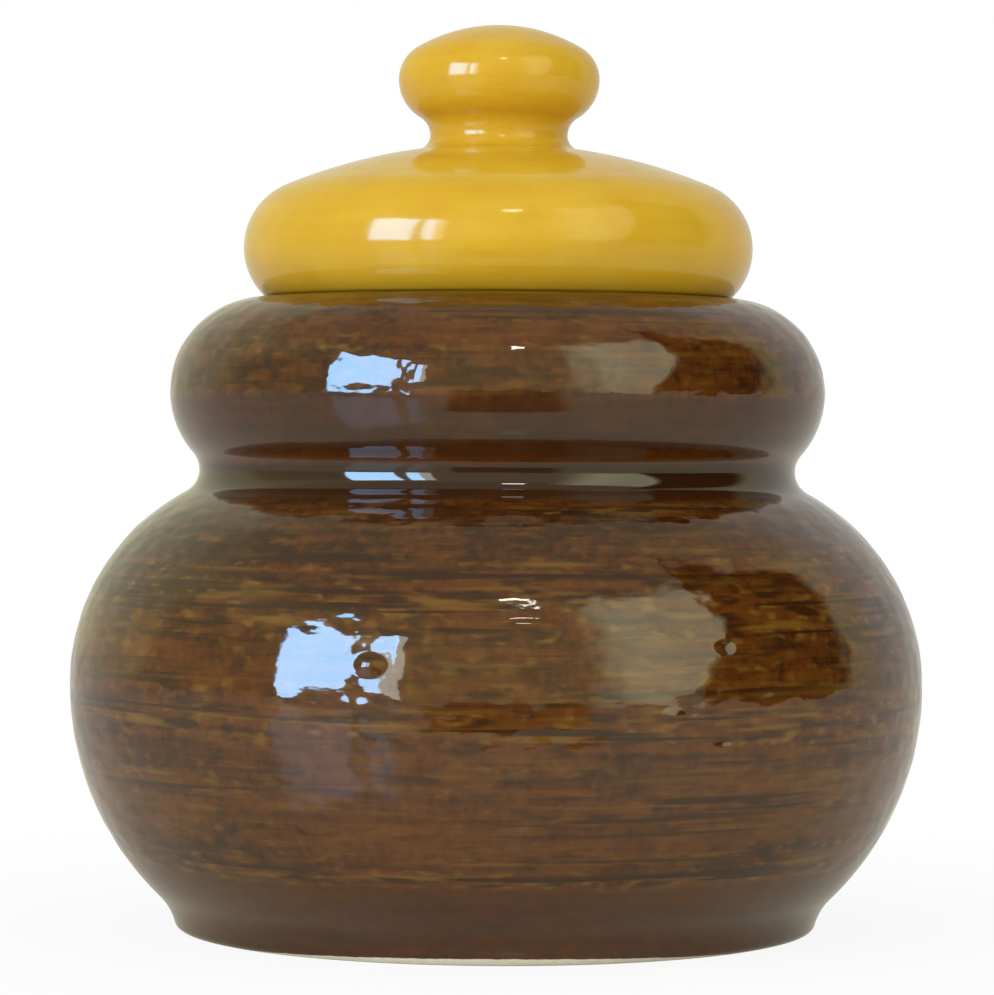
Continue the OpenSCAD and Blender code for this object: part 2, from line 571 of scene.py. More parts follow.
class Recipe:
    """Node tree of a material or of the world, with short calls for the nodes that it needs."""

    def __init__(self, tree: bpy.types.NodeTree) -> None:
        """Empty the tree and keep it."""
        self.tree = tree
        self.tree.nodes.clear()

    def add(self, kind: str, *values: object, **settings: object) -> bpy.types.Node:
        """Add a node, set its properties and feed its first inputs.

        Args:
            kind: Blender's name of the node.
            values: Outputs of other nodes, numbers or tuples for its first inputs.
            settings: Properties of the node and their values.

        Returns:
            The node.
        """
        node = self.tree.nodes.new(kind)
        assign(node, settings)
        for socket, value in zip(node.inputs, values):
            self.feed(socket, value)
        return node

    def feed(self, socket: Socket, value: object) -> None:
        """Link an output to an input, or set the input to a plain value.

        Args:
            socket: Input of a node.
            value: Output of another node, a number or a tuple.
        """
        if isinstance(value, Socket):
            self.tree.links.new(value, socket)
        elif socket.type == "RGBA":
            socket.default_value = (*value, 1.0)
        else:
            socket.default_value = value

    def math(self, operation: str, *values: object, clamp: bool = False) -> Socket:
        """Add a Math node.

        Args:
            operation: Blender's name of the operation.
            values: Outputs or numbers for its inputs.
            clamp: Whether the result is held between 0 and 1.

        Returns:
            The result.
        """
        return self.add("ShaderNodeMath", *values, operation=operation, use_clamp=clamp).outputs[0]

    def spread(self, value: Socket, span: Span) -> Socket:
        """Add a Map Range node with soft ends.

        Args:
            value: Output to be mapped.
            span: Stretch over which it is mapped.

        Returns:
            The result.
        """
        node = self.add("ShaderNodeMapRange", value, *astuple(span), interpolation_type="SMOOTHSTEP")
        return node.outputs["Result"]

    def within(self, *limits: tuple[Socket, Span]) -> Socket:
        """Find where several values all lie within soft limits.

        Args:
            limits: Values and the stretches over which they come within their limits.

        Returns:
            The product of all the stretches.
        """
        share, *others = [self.spread(value, span) for value, span in limits]
        for other in others:
            share = self.math("MULTIPLY", share, other)
        return share

    def attribute(self, name: str) -> Socket:
        """Return the number that a piece keeps under a name."""
        return self.add("ShaderNodeAttribute", attribute_name=name).outputs["Fac"]

    def noise(self, path: Socket, specks: Specks) -> Socket:
        """Add a noise stretched round the piece.

        Args:
            path: Place on the surface, in millimetres.
            specks: Size and detail of the noise.

        Returns:
            The noise, about 0.5 on average.
        """
        shift = specks.shift
        mapping = self.add("ShaderNodeMapping", path, (shift, -shift, shift))
        mapping.inputs["Scale"].default_value = (1 / specks.length, 1 / specks.length, 1 / specks.height)
        node = self.add("ShaderNodeTexNoise", mapping.outputs["Vector"])
        node.inputs["Scale"].default_value = 1.0
        node.inputs["Detail"].default_value = specks.detail
        node.inputs["Roughness"].default_value = specks.fineness
        return node.outputs["Fac"]

    def marks(self, path: Socket, mark: Mark, lift: Socket | None = None) -> Socket:
        """Add marks where a noise is high enough.

        Args:
            path: Place on the surface, in millimetres.
            mark: Kind of mark.
            lift: What brings out more of the marks, if anything does.

        Returns:
            How strongly a mark shows.
        """
        noise = self.noise(path, mark.specks)
        if lift is not None:
            noise = self.math("ADD", noise, lift)
        return self.spread(noise, mark.shows)

    def tally(self, *parts: tuple[Socket, float]) -> Socket:
        """Add up noises by weight, each about its middle.

        Args:
            parts: Noises and their weights.

        Returns:
            The sum, about 0 on average.
        """
        total: object = 0.0
        for noise, weight in parts:
            swing = self.math("SUBTRACT", noise, NOISE_MIDDLE)
            total = self.math("MULTIPLY_ADD", swing, weight, total)
        return total

    def blend(self, factor: Socket, low: object, high: object) -> Socket:
        """Mix two colours.

        Args:
            factor: Share of the second colour.
            low: First colour.
            high: Second colour.

        Returns:
            The mixed colour.
        """
        node = self.add("ShaderNodeMix", factor, data_type="RGBA")
        places = [socket for socket in node.inputs if socket.type == "RGBA"]
        for socket, colour in zip(places, (low, high)):
            self.feed(socket, colour)
        return next(socket for socket in node.outputs if socket.type == "RGBA")

    def mingle(self, factor: object, low: Socket, high: Socket) -> Socket:
        """Mix two shaders.

        Args:
            factor: Share of the second shader.
            low: First shader.
            high: Second shader.

        Returns:
            The mixed shader.
        """
        return self.add("ShaderNodeMixShader", factor, low, high).outputs[0]

    def ramp(self, factor: Socket, stops: dict[float, Colour]) -> Socket:
        """Add a colour ramp.

        Args:
            factor: Place on the ramp.
            stops: Places in rising order, and their colours.

        Returns:
            The colour.
        """
        node = self.add("ShaderNodeValToRGB", factor)
        elements = node.color_ramp.elements
        for place in list(stops)[len(elements) :]:
            elements.new(place)
        for element, (place, colour) in zip(elements, stops.items()):
            element.position = place
            element.color = (*colour, 1.0)
        return node.outputs["Color"]

    def bump(self, height: Socket, depth: float, strength: object) -> Socket:
        """Let a surface look uneven.

        Args:
            height: Height of the surface at each place.
            depth: Distance that a height of 1 stands for, in millimetres.
            strength: Share of it that shows.

        Returns:
            The direction that the surface faces.
        """
        node = self.add("ShaderNodeBump")
        node.inputs["Distance"].default_value = depth * MM
        self.feed(node.inputs["Strength"], strength)
        self.feed(node.inputs["Height"], height)
        return node.outputs["Normal"]

    def surface(self, colour: Socket, gloss: Socket, index: float, normal: Socket) -> None:
        """Finish a material with its shader and output.

        Args:
            colour: Colour of the surface.
            gloss: Roughness of the surface.
            index: Index of refraction.
            normal: Direction that the surface faces.
        """
        shader = self.add("ShaderNodeBsdfPrincipled")
        settings = {"Base Color": colour, "Roughness": gloss, "IOR": index, "Normal": normal}
        for name, value in settings.items():
            self.feed(shader.inputs[name], value)
        self.add("ShaderNodeOutputMaterial", shader.outputs["BSDF"])

    def path(self) -> tuple[Socket, Socket]:
        """Build the place on a turned surface: sideways, depthways and along the outline, in millimetres.

        Returns:
            The place, and the depthways part alone.
        """
        place = self.add("ShaderNodeTexCoord").outputs["Object"]
        scaled = self.add("ShaderNodeVectorMath", place, operation="SCALE")
        scaled.inputs["Scale"].default_value = 1 / MM
        sideways, depthways, _ = self.add("ShaderNodeSeparateXYZ", scaled.outputs[0]).outputs
        joined = self.add("ShaderNodeCombineXYZ", sideways, depthways, self.attribute("run"))
        return joined.outputs[0], depthways

    def heading(self, vector: Socket) -> tuple[list[Socket], Socket, Socket]:
        """Take a place or a direction apart.

        Args:
            vector: Place or direction.

        Returns:
            Its three parts, how far it is to the front, and its side in degrees to the right of the front.
        """
        parts = self.add("ShaderNodeSeparateXYZ", vector).outputs
        front = self.math("MULTIPLY", parts["Y"], -1.0)
        side = self.math("DEGREES", self.math("ARCTAN2", parts["X"], front))
        return list(parts), front, side

    def rays(self) -> tuple[Socket, Socket]:
        """Tell rays apart.

        Returns:
            Whether a ray comes straight from the camera, and whether it belongs to a mirror image.
        """
        kinds = self.add("ShaderNodeLightPath").outputs
        direct = self.math("MAXIMUM", kinds["Is Camera Ray"], kinds["Is Transmission Ray"])
        return direct, kinds["Is Glossy Ray"]


def new_material(name: str) -> tuple[bpy.types.Material, Recipe]:
    """Make an empty material.

    Args:
        name: Name of the material.

    Returns:
        The material and its recipe.
    """
    material = bpy.data.materials.new(name)
    material.use_nodes = True
    return material, Recipe(material.node_tree)


@dataclass(frozen=True)
class BareClay:
    """Clay without glaze, where a piece stands or touches another in the kiln.

    Attributes:
        colour: Colour of the clay.
        dull: Roughness of the clay.
        wander: How far the edge of the glaze strays, in millimetres.
        stray: Noise that it strays by.
        edge: Distance over which the glaze thins out to nothing, in millimetres.
        grain: Grain of the clay.
    """

    colour: Colour = (0.75, 0.70, 0.55)
    dull: float = 0.75
    wander: float = 0.35
    stray: Specks = Specks(2.5, 2.5, 3.0, 31.0)
    edge: Span = Span(0.06, -0.06)
    grain: Mark = Mark(Specks(0.7, 0.7, 2.0, 2.0), Span(0.3, 0.7, 0.92, 1.0))

    def under(
        self, recipe: Recipe, path: Socket, glaze: Socket, gloss: float, wiped: object
    ) -> tuple[Socket, Socket]:
        """Let the clay show where the glaze ends.

        Args:
            recipe: Material of the piece.
            path: Place on the surface, in millimetres.
            glaze: Colour of the glaze.
            gloss: Roughness of the glaze.
            wiped: How far the glaze is wiped off past the bare stretch, in millimetres.

        Returns:
            Colour and roughness of the surface.
        """
        stray = recipe.tally((recipe.noise(path, self.stray), self.wander))
        gap = recipe.math("SUBTRACT", recipe.attribute("clay_gap"), recipe.math("ADD", stray, wiped))
        bare = recipe.spread(gap, self.edge)
        clay = recipe.add("ShaderNodeVectorMath", self.colour, operation="SCALE")
        recipe.feed(clay.inputs["Scale"], recipe.marks(path, self.grain))
        colour = recipe.blend(bare, glaze, clay.outputs[0])
        return colour, recipe.spread(bare, Span(0.0, 1.0, gloss, self.dull))


@dataclass(frozen=True)
class Strokes:
    """Brush strokes of one kind.

    Attributes:
        short: Short strokes.
        long: Long strokes.
        rows: Rows that both keep to.
    """

    short: Mark
    long: Mark
    rows: Mark

    def lay(self, recipe: Recipe, path: Socket, pressed: Socket) -> Socket:
        """Lay the strokes on a surface.

        Args:
            recipe: Material of the piece.
            path: Place on the surface, in millimetres.
            pressed: How much harder the brush pressed there.

        Returns:
            How strongly a stroke shows.
        """
        strokes = recipe.math("MAXIMUM", recipe.marks(path, self.short), recipe.marks(path, self.long))
        return recipe.math("MULTIPLY", strokes, recipe.marks(path, self.rows, pressed))


@dataclass(frozen=True)
class BrownGlaze:
    """Brown glaze over brush marks: dark where it pools, amber on the ridges.

    The colours go from the thickest glaze to the thinnest, and stops are the tones of the first four. Spans
    that begin with 0 and 1 go from plain to brushed glaze.

    Attributes:
        wiped_middle: How far the glaze is wiped off past the foot's bare edge, in millimetres at the axis.
        wiped_slope: How much more that is for each millimetre further back.
        wiped_least: Least that it is, below 0 where the glaze runs over the edge.
        smudges: Noises that the tone is mixed from, and their weights.
        bands: Light bands where the brush pressed harder.
        relief_share: How much more amber the ridges of the relief hold.
        grain_share: Height of the grain beside the lumps that it lies on.
        bump_depth: Depth of the lumps, in millimetres.
    """

    deep: Colour = (0.026, 0.0085, 0.0028)
    dark: Colour = (0.041, 0.0122, 0.0027)
    brown: Colour = (0.083, 0.0240, 0.0034)
    light: Colour = (0.112, 0.0370, 0.0051)
    amber: Colour = (0.170, 0.0850, 0.0110)
    stops: tuple[float, ...] = (0.0, 0.22, 0.50, 0.85)
    gloss: float = 0.05
    index: float = 1.55
    wiped_middle: float = -2.35
    wiped_slope: float = -0.08
    wiped_least: float = -0.55
    smudges: tuple[tuple[Specks, float], ...] = (
        (Specks(5.0, 2.4, 3.0), 1.1),
        (Specks(1.7, 1.3, 2.0, 3.0), 0.7),
        (Specks(0.9, 2.6, 1.0, 37.0), 0.5),
        (Specks(26.0, 1.5, 2.0, 29.0), 1.0),
        (Specks(30.0, 9.0, 2.0, 11.0), 0.8),
    )
    tone_swing: Span = Span(0.0, 1.0, 0.3, 1.0)
    tone_level: Span = Span(0.0, 1.0, 0.38, 0.5)
    bands: Mark = Mark(Specks(45.0, 1.4, 1.0, 71.0), Span(0.45, 0.65))
    ridges: Strokes = Strokes(
        short=Mark(Specks(2.4, 1.2, 0.8, 7.0), Span(0.50, 0.77, 0.0, 0.85)),
        long=Mark(Specks(16.0, 1.1, 0.6, 51.0), Span(0.52, 0.77, 0.0, 0.80)),
        rows=Mark(Specks(70.0, 1.5, 1.0, 21.0), Span(0.45, 0.80, 0.3)),
    )
    relief_share: float = 0.2
    pools: Strokes = Strokes(
        short=Mark(Specks(5.0, 1.1, 0.6, 5.0), Span(0.50, 0.72, 0.0, 0.85)),
        long=Mark(Specks(28.0, 1.0, 1.0, 61.0), Span(0.54, 0.66, 0.0, 0.90)),
        rows=Mark(Specks(60.0, 1.8, 1.0, 41.0), Span(0.42, 0.75, 0.3)),
    )
    lumps: Specks = Specks(3.6, 2.0, 0.5, 17.0)
    grain: Specks = Specks(1.4, 0.7, 1.0, 19.0)
    grain_share: float = 0.08
    bump_depth: float = 0.10
    bump_strength: Span = Span(0.0, 1.0, 0.10, 1.0)
    clay: BareClay = BareClay()

    def make(self) -> bpy.types.Material:
        """Build the material.

        Returns:
            The material.
        """
        material, recipe = new_material("brown_glaze_brushed")
        path, depthways = recipe.path()
        brushed = recipe.attribute("brushed")
        wiped = recipe.math("MULTIPLY_ADD", depthways, self.wiped_slope, self.wiped_middle)
        wiped = recipe.math("MAXIMUM", wiped, self.wiped_least)
        glaze = self._colour(recipe, path, brushed)
        colour, gloss = self.clay.under(recipe, path, glaze, self.gloss, wiped)
        grain = recipe.math("MULTIPLY", recipe.noise(path, self.grain), self.grain_share)
        lumps = recipe.math("ADD", recipe.noise(path, self.lumps), grain)
        normal = recipe.bump(lumps, self.bump_depth, recipe.spread(brushed, self.bump_strength))
        recipe.surface(colour, gloss, self.index, normal)
        return material

    def _colour(self, recipe: Recipe, path: Socket, brushed: Socket) -> Socket:
        """Mix the colour of the glaze from smudges, painted shading rings, amber strokes on the ridges and
        dark pools.

        Args:
            recipe: Material of the piece.
            path: Place on the surface, in millimetres.
            brushed: How strongly the brush marked the surface.

        Returns:
            The colour.
        """
        tone = recipe.tally(*((recipe.noise(path, specks), weight) for specks, weight in self.smudges))
        tone = recipe.math("MULTIPLY", tone, recipe.spread(brushed, self.tone_swing))
        tone = recipe.math("ADD", tone, recipe.spread(brushed, self.tone_level))
        # Painted shading: the rings darken the glaze in the waist groove, under the collar and on the
        # shoulder, and lighten it above the groove and on the lower belly.
        tone = recipe.math("ADD", tone, recipe.attribute("coat"), clamp=True)
        shades = (self.deep, self.dark, self.brown, self.light)
        colour = recipe.ramp(tone, dict(zip(self.stops, shades)))
        pressed = recipe.attribute("pressed")
        band = recipe.math("MULTIPLY", recipe.marks(path, self.bands), pressed, clamp=True)
        colour = recipe.blend(band, colour, self.light)
        crest = recipe.math("MULTIPLY_ADD", recipe.attribute("relief"), self.relief_share, pressed)
        ridge = self.ridges.lay(recipe, path, crest)
        colour = recipe.blend(recipe.math("MULTIPLY", ridge, brushed), colour, self.amber)
        pool = self.pools.lay(recipe, path, pressed)
        pool = recipe.math("MAXIMUM", recipe.math("MULTIPLY", pool, brushed), recipe.attribute("pooled"))
        return recipe.blend(pool, colour, self.deep)


@dataclass(frozen=True)
class YellowGlaze:
    """Opaque yellow glaze, a little deeper and lighter in faint bands, clouds and grain of given weights.

    Bands and clouds are also uneven, by a depth in millimetres of which a share shows.
    """

    deep: Colour = (0.60, 0.347, 0.016)
    light: Colour = (0.67, 0.422, 0.029)
    gloss: float = 0.11
    index: float = 1.40
    bands: Specks = Specks(22.0, 1.8, 3.0)
    bands_weight: float = 1.2
    clouds: Specks = Specks(9.0, 7.0, 2.0, 4.0)
    clouds_weight: float = 1.4
    grain: Specks = Specks(0.8, 0.8, 2.0, 9.0)
    grain_weight: float = 0.5
    bump_depth: float = 0.02
    bump_strength: float = 0.6
    clay: BareClay = BareClay()

    def make(self) -> bpy.types.Material:
        """Build the material.

        Returns:
            The material.
        """
        material, recipe = new_material("yellow_glaze_even")
        path, _ = recipe.path()
        bands = recipe.noise(path, self.bands)
        clouds = recipe.noise(path, self.clouds)
        grain = recipe.noise(path, self.grain)
        tone = recipe.tally(
            (bands, self.bands_weight), (clouds, self.clouds_weight), (grain, self.grain_weight)
        )
        tone = recipe.math("ADD", tone, NOISE_MIDDLE, clamp=True)
        glaze = recipe.blend(tone, self.deep, self.light)
        colour, gloss = self.clay.under(recipe, path, glaze, self.gloss, 0.0)
        normal = recipe.bump(recipe.math("ADD", bands, clouds), self.bump_depth, self.bump_strength)
        recipe.surface(colour, gloss, self.index, normal)
        return material


@dataclass
class Pot:
    """The vessel: foot ring, round belly, pinched waist, collar, seat and mouth, in millimetres.

    Attributes:
        bare_to: Bearing on the edge of the foot where bare clay ends, in degrees.
        brushed_from: Bearing on the lower belly where brush marks begin, in degrees.
        marks_from: Bearing on the collar where brush marks begin, in degrees.
    """

    foot_d: float = 83.0
    foot_h: float = 2.6
    foot_cove_r: float = 8.0
    foot_edge_r: float = 1.2
    foot_ring_w: float = 5.0
    foot_recess: float = 2.2
    belly_d: float = 110.0
    belly_low_r: float = 37.8
    belly_top_r: float = 28.0
    wall: float = 4.5
    floor_t: float = 4.5
    floor_bend_r: float = 6.0
    collar_d: float = 84.6
    collar_r: float = 12.1
    waist_depth: float = 3.8
    waist_r: float = 3.2
    seat_w: float = 5.6
    mouth_edge_r: float = 1.0
    bare_to: float = -58.0
    brushed_from: float = -37.0
    marks_from: float = -12.0
    spacing: dict[Zone, float] = field(
        default_factory=lambda: {
            Zone.BRUSHED: 0.55,
            Zone.DABBED: 0.55,
            Zone.PLAIN: 0.7,
            Zone.INSIDE: 3.0,
            Zone.BARE: 1.5,
        }
    )
    brush_rows: tuple[Ring, ...] = (
        Ring(43.0, 5.0, 0.35),
        Ring(29.5, 2.2, 0.45),
        Ring(10.5, 1.5, 0.40),
    )
    # Painted shading: the darker rings paint shade and dark reflections into the waist groove, under the
    # collar, on the shoulder below it and a little across the collar; the lighter rings paint a light line
    # above the groove and light on the lower belly.
    painted_shading_rings: tuple[Ring, ...] = (
        Ring(72.0, 6.0, -0.12),
        Ring(63.5, 3.5, -0.10),
        Ring(60.5, 0.9, 0.26),
        Ring(58.6, 1.5, -0.60),
        Ring(52.0, 7.0, -0.20),
        Ring(19.5, 7.0, 0.18),
    )
    ripples: tuple[Ripple, ...] = (
        Ripple("brush_ridges", 26.0, 2.4, 0.08),
        Ripple("glaze_lumps", 4.5, 3.2, 0.14),
    )
    dents: tuple[Blister, ...] = (Blister(-29.0, 68.6, 28.0, 14.0, -0.27),)
    blisters: tuple[Blister, ...] = (
        Blister(-12.0, 71.5, 5.0, 5.0, 0.08),
        Blister(-15.8, 36.7, 4.6, 3.4, 0.45),
        Blister(-22.1, 30.3, 2.8, 2.0, 0.030),
        Blister(-16.9, 30.5, 3.2, 1.8, 0.028),
        Blister(-11.4, 30.3, 4.4, 1.8, 0.028),
        Blister(-7.5, 30.3, 4.2, 1.4, 0.022),
        Blister(-15.9, 28.7, 3.8, 1.4, 0.022),
        Blister(22.2, 30.9, 3.6, 2.2, 0.16),
        Blister(4.0, 41.6, 8.0, 1.4, 0.09),
        Blister(2.6, 53.9, 8.0, 1.6, 0.30),
        Blister(30.0, 38.7, 3.2, 2.0, -0.18, 0.7),
        Blister(29.3, 27.6, 3.8, 1.4, -0.25, 1.0),
        Blister(40.9, 42.6, 2.0, 1.6, -0.05, 0.3),
        Blister(36.6, 43.2, 2.0, 1.6, -0.05, 0.3),
        Blister(97.0, 41.0, 3.4, 1.6, 0.25),
        Blister(131.0, 29.0, 4.0, 1.4, 0.22),
        Blister(174.0, 45.5, 3.0, 2.2, 0.30),
        Blister(-118.0, 30.0, 3.6, 1.4, 0.22),
        Blister(-84.0, 39.5, 2.6, 2.0, -0.30, 1.0),
        Blister(152.0, 27.5, 3.2, 1.4, -0.30, 1.0),
    )
    blister_cuts: int = 3
    wheel: Wheel = Wheel(320)

    def __post_init__(self) -> None:
        """Work out the centres of the arcs from the sizes."""
        self.collar_x = self.collar_d / 2 - self.collar_r
        belly_low_x = self.belly_d / 2 - self.belly_low_r
        self.belly_z = self.foot_h + leg(self.belly_low_r, self.foot_d / 2 - belly_low_x)
        self.belly_low_c = Vector((belly_low_x, self.belly_z))
        self.belly_top_c = Vector((self.belly_d / 2 - self.belly_top_r, self.belly_z))
        self.foot_edge_c = Vector((self.foot_d / 2 - self.foot_edge_r, self.foot_edge_r))
        self.foot_cove_c = right_of(
            self.foot_edge_c,
            self.foot_edge_r + self.foot_cove_r,
            self.belly_low_c,
            self.belly_low_r + self.foot_cove_r,
        )
        waist_x = self.collar_d / 2 - self.waist_depth + self.waist_r
        waist_rise = leg(self.belly_top_r + self.waist_r, waist_x - self.belly_top_c.x)
        self.waist_c = Vector((waist_x, self.belly_z + waist_rise))
        collar_rise = leg(self.collar_r + self.waist_r, waist_x - self.collar_x)
        self.collar_c = Vector((self.collar_x, self.waist_c.y + collar_rise))
        self.seat_z = self.collar_c.y + self.collar_r
        self.mouth_rad = self.collar_x - self.seat_w

    def outline(self) -> Outline:
        """Walk the half outline from the middle of the base round to the middle of the floor.

        Returns:
            The outline.
        """
        way = Outline(self.spacing, brush_rows=self.brush_rows, painted_shading_rings=self.painted_shading_rings)
        self._outside(way)
        self._inside(way)
        return way

    def _outside(self, way: Outline) -> None:
        """Walk the underside and the outside up to the seat.

        Args:
            way: Outline to be drawn on.
        """
        ring_rad = self.foot_d / 2 - self.foot_ring_w
        ring_edge_c = Vector((ring_rad + self.foot_edge_r, self.foot_edge_r))
        edge, cove = self.foot_edge_c, self.foot_cove_c
        low, top = self.belly_low_c, self.belly_top_c
        waist, collar = self.waist_c, self.collar_c
        way.put(Vector((0.0, self.foot_recess)), Zone.INSIDE)
        way.line(Vector((ring_rad, self.foot_recess)), Zone.INSIDE)
        way.line(Vector((ring_rad, self.foot_edge_r)), Zone.INSIDE)
        way.arc(ring_edge_c, self.foot_edge_r, 180.0, 270.0, Zone.BARE)
        way.line(Vector((edge.x, 0.0)), Zone.BARE)
        way.arc(edge, self.foot_edge_r, -90.0, self.bare_to, Zone.BARE)
        way.arc(edge, self.foot_edge_r, self.bare_to, bearing(edge, cove), Zone.PLAIN)
        way.arc(cove, self.foot_cove_r, bearing(cove, edge), bearing(cove, low), Zone.PLAIN)
        way.arc(low, self.belly_low_r, bearing(low, cove), self.brushed_from, Zone.PLAIN)
        way.arc(low, self.belly_low_r, self.brushed_from, 0.0, Zone.BRUSHED)
        way.arc(top, self.belly_top_r, 0.0, bearing(top, waist), Zone.BRUSHED)
        way.arc(waist, self.waist_r, bearing(waist, top), bearing(waist, collar), Zone.PLAIN)
        way.arc(collar, self.collar_r, bearing(collar, waist), self.marks_from, Zone.PLAIN)
        way.arc(collar, self.collar_r, self.marks_from, 90.0, Zone.DABBED)

    def _inside(self, way: Outline) -> None:
        """Walk the seat, the mouth and the inside down to the floor, one wall in from the outside.

        Args:
            way: Outline to be drawn on.
        """
        low, top = self.belly_low_c, self.belly_top_c
        waist, collar = self.waist_c, self.collar_c
        edge_x = self.mouth_rad + self.mouth_edge_r
        mouth_top_c = Vector((edge_x, self.seat_z - self.mouth_edge_r))
        mouth_low_c = Vector((edge_x, self.seat_z - self.wall + self.mouth_edge_r))
        floor_z = self.foot_recess + self.floor_t
        bend_z = floor_z + self.floor_bend_r
        bend_in = leg(self.belly_low_r - self.wall - self.floor_bend_r, self.belly_z - bend_z)
        bend_c = Vector((low.x + bend_in, bend_z))
        way.line(Vector((edge_x, self.seat_z)), Zone.BARE)
        way.arc(mouth_top_c, self.mouth_edge_r, 90.0, 180.0, Zone.INSIDE)
        way.line(Vector((self.mouth_rad, mouth_low_c.y)), Zone.INSIDE)
        way.arc(mouth_low_c, self.mouth_edge_r, 180.0, 270.0, Zone.INSIDE)
        way.line(Vector((self.collar_x, self.seat_z - self.wall)), Zone.INSIDE)
        way.arc(collar, self.collar_r - self.wall, 90.0, bearing(collar, waist), Zone.INSIDE)
        way.arc(waist, self.waist_r + self.wall, bearing(waist, collar), bearing(waist, top), Zone.INSIDE)
        way.arc(top, self.belly_top_r - self.wall, bearing(top, waist), 0.0, Zone.INSIDE)
        way.arc(low, self.belly_low_r - self.wall, 0.0, bearing(low, bend_c), Zone.INSIDE)
        way.arc(bend_c, self.floor_bend_r, bearing(low, bend_c), -90.0, Zone.INSIDE)
        way.line(Vector((0.0, floor_z)), Zone.INSIDE)

    def build(self, glaze: BrownGlaze) -> Piece:
        """Turn the pot, press in its brush marks, glaze it and set it on its body.

        Args:
            glaze: Glaze of the pot.

        Returns:
            The pot.
        """
        piece = self.wheel.turn("pot_glazed", self.outline())
        self.wheel.ripple(piece, self.ripples)
        self.wheel.blister(piece, self.dents)
        self.wheel.blister(piece, self.blisters, self.blister_cuts)
        self.wheel.finish(piece, glaze.make())
        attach(piece, "pot")
        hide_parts("pot")
        return piece


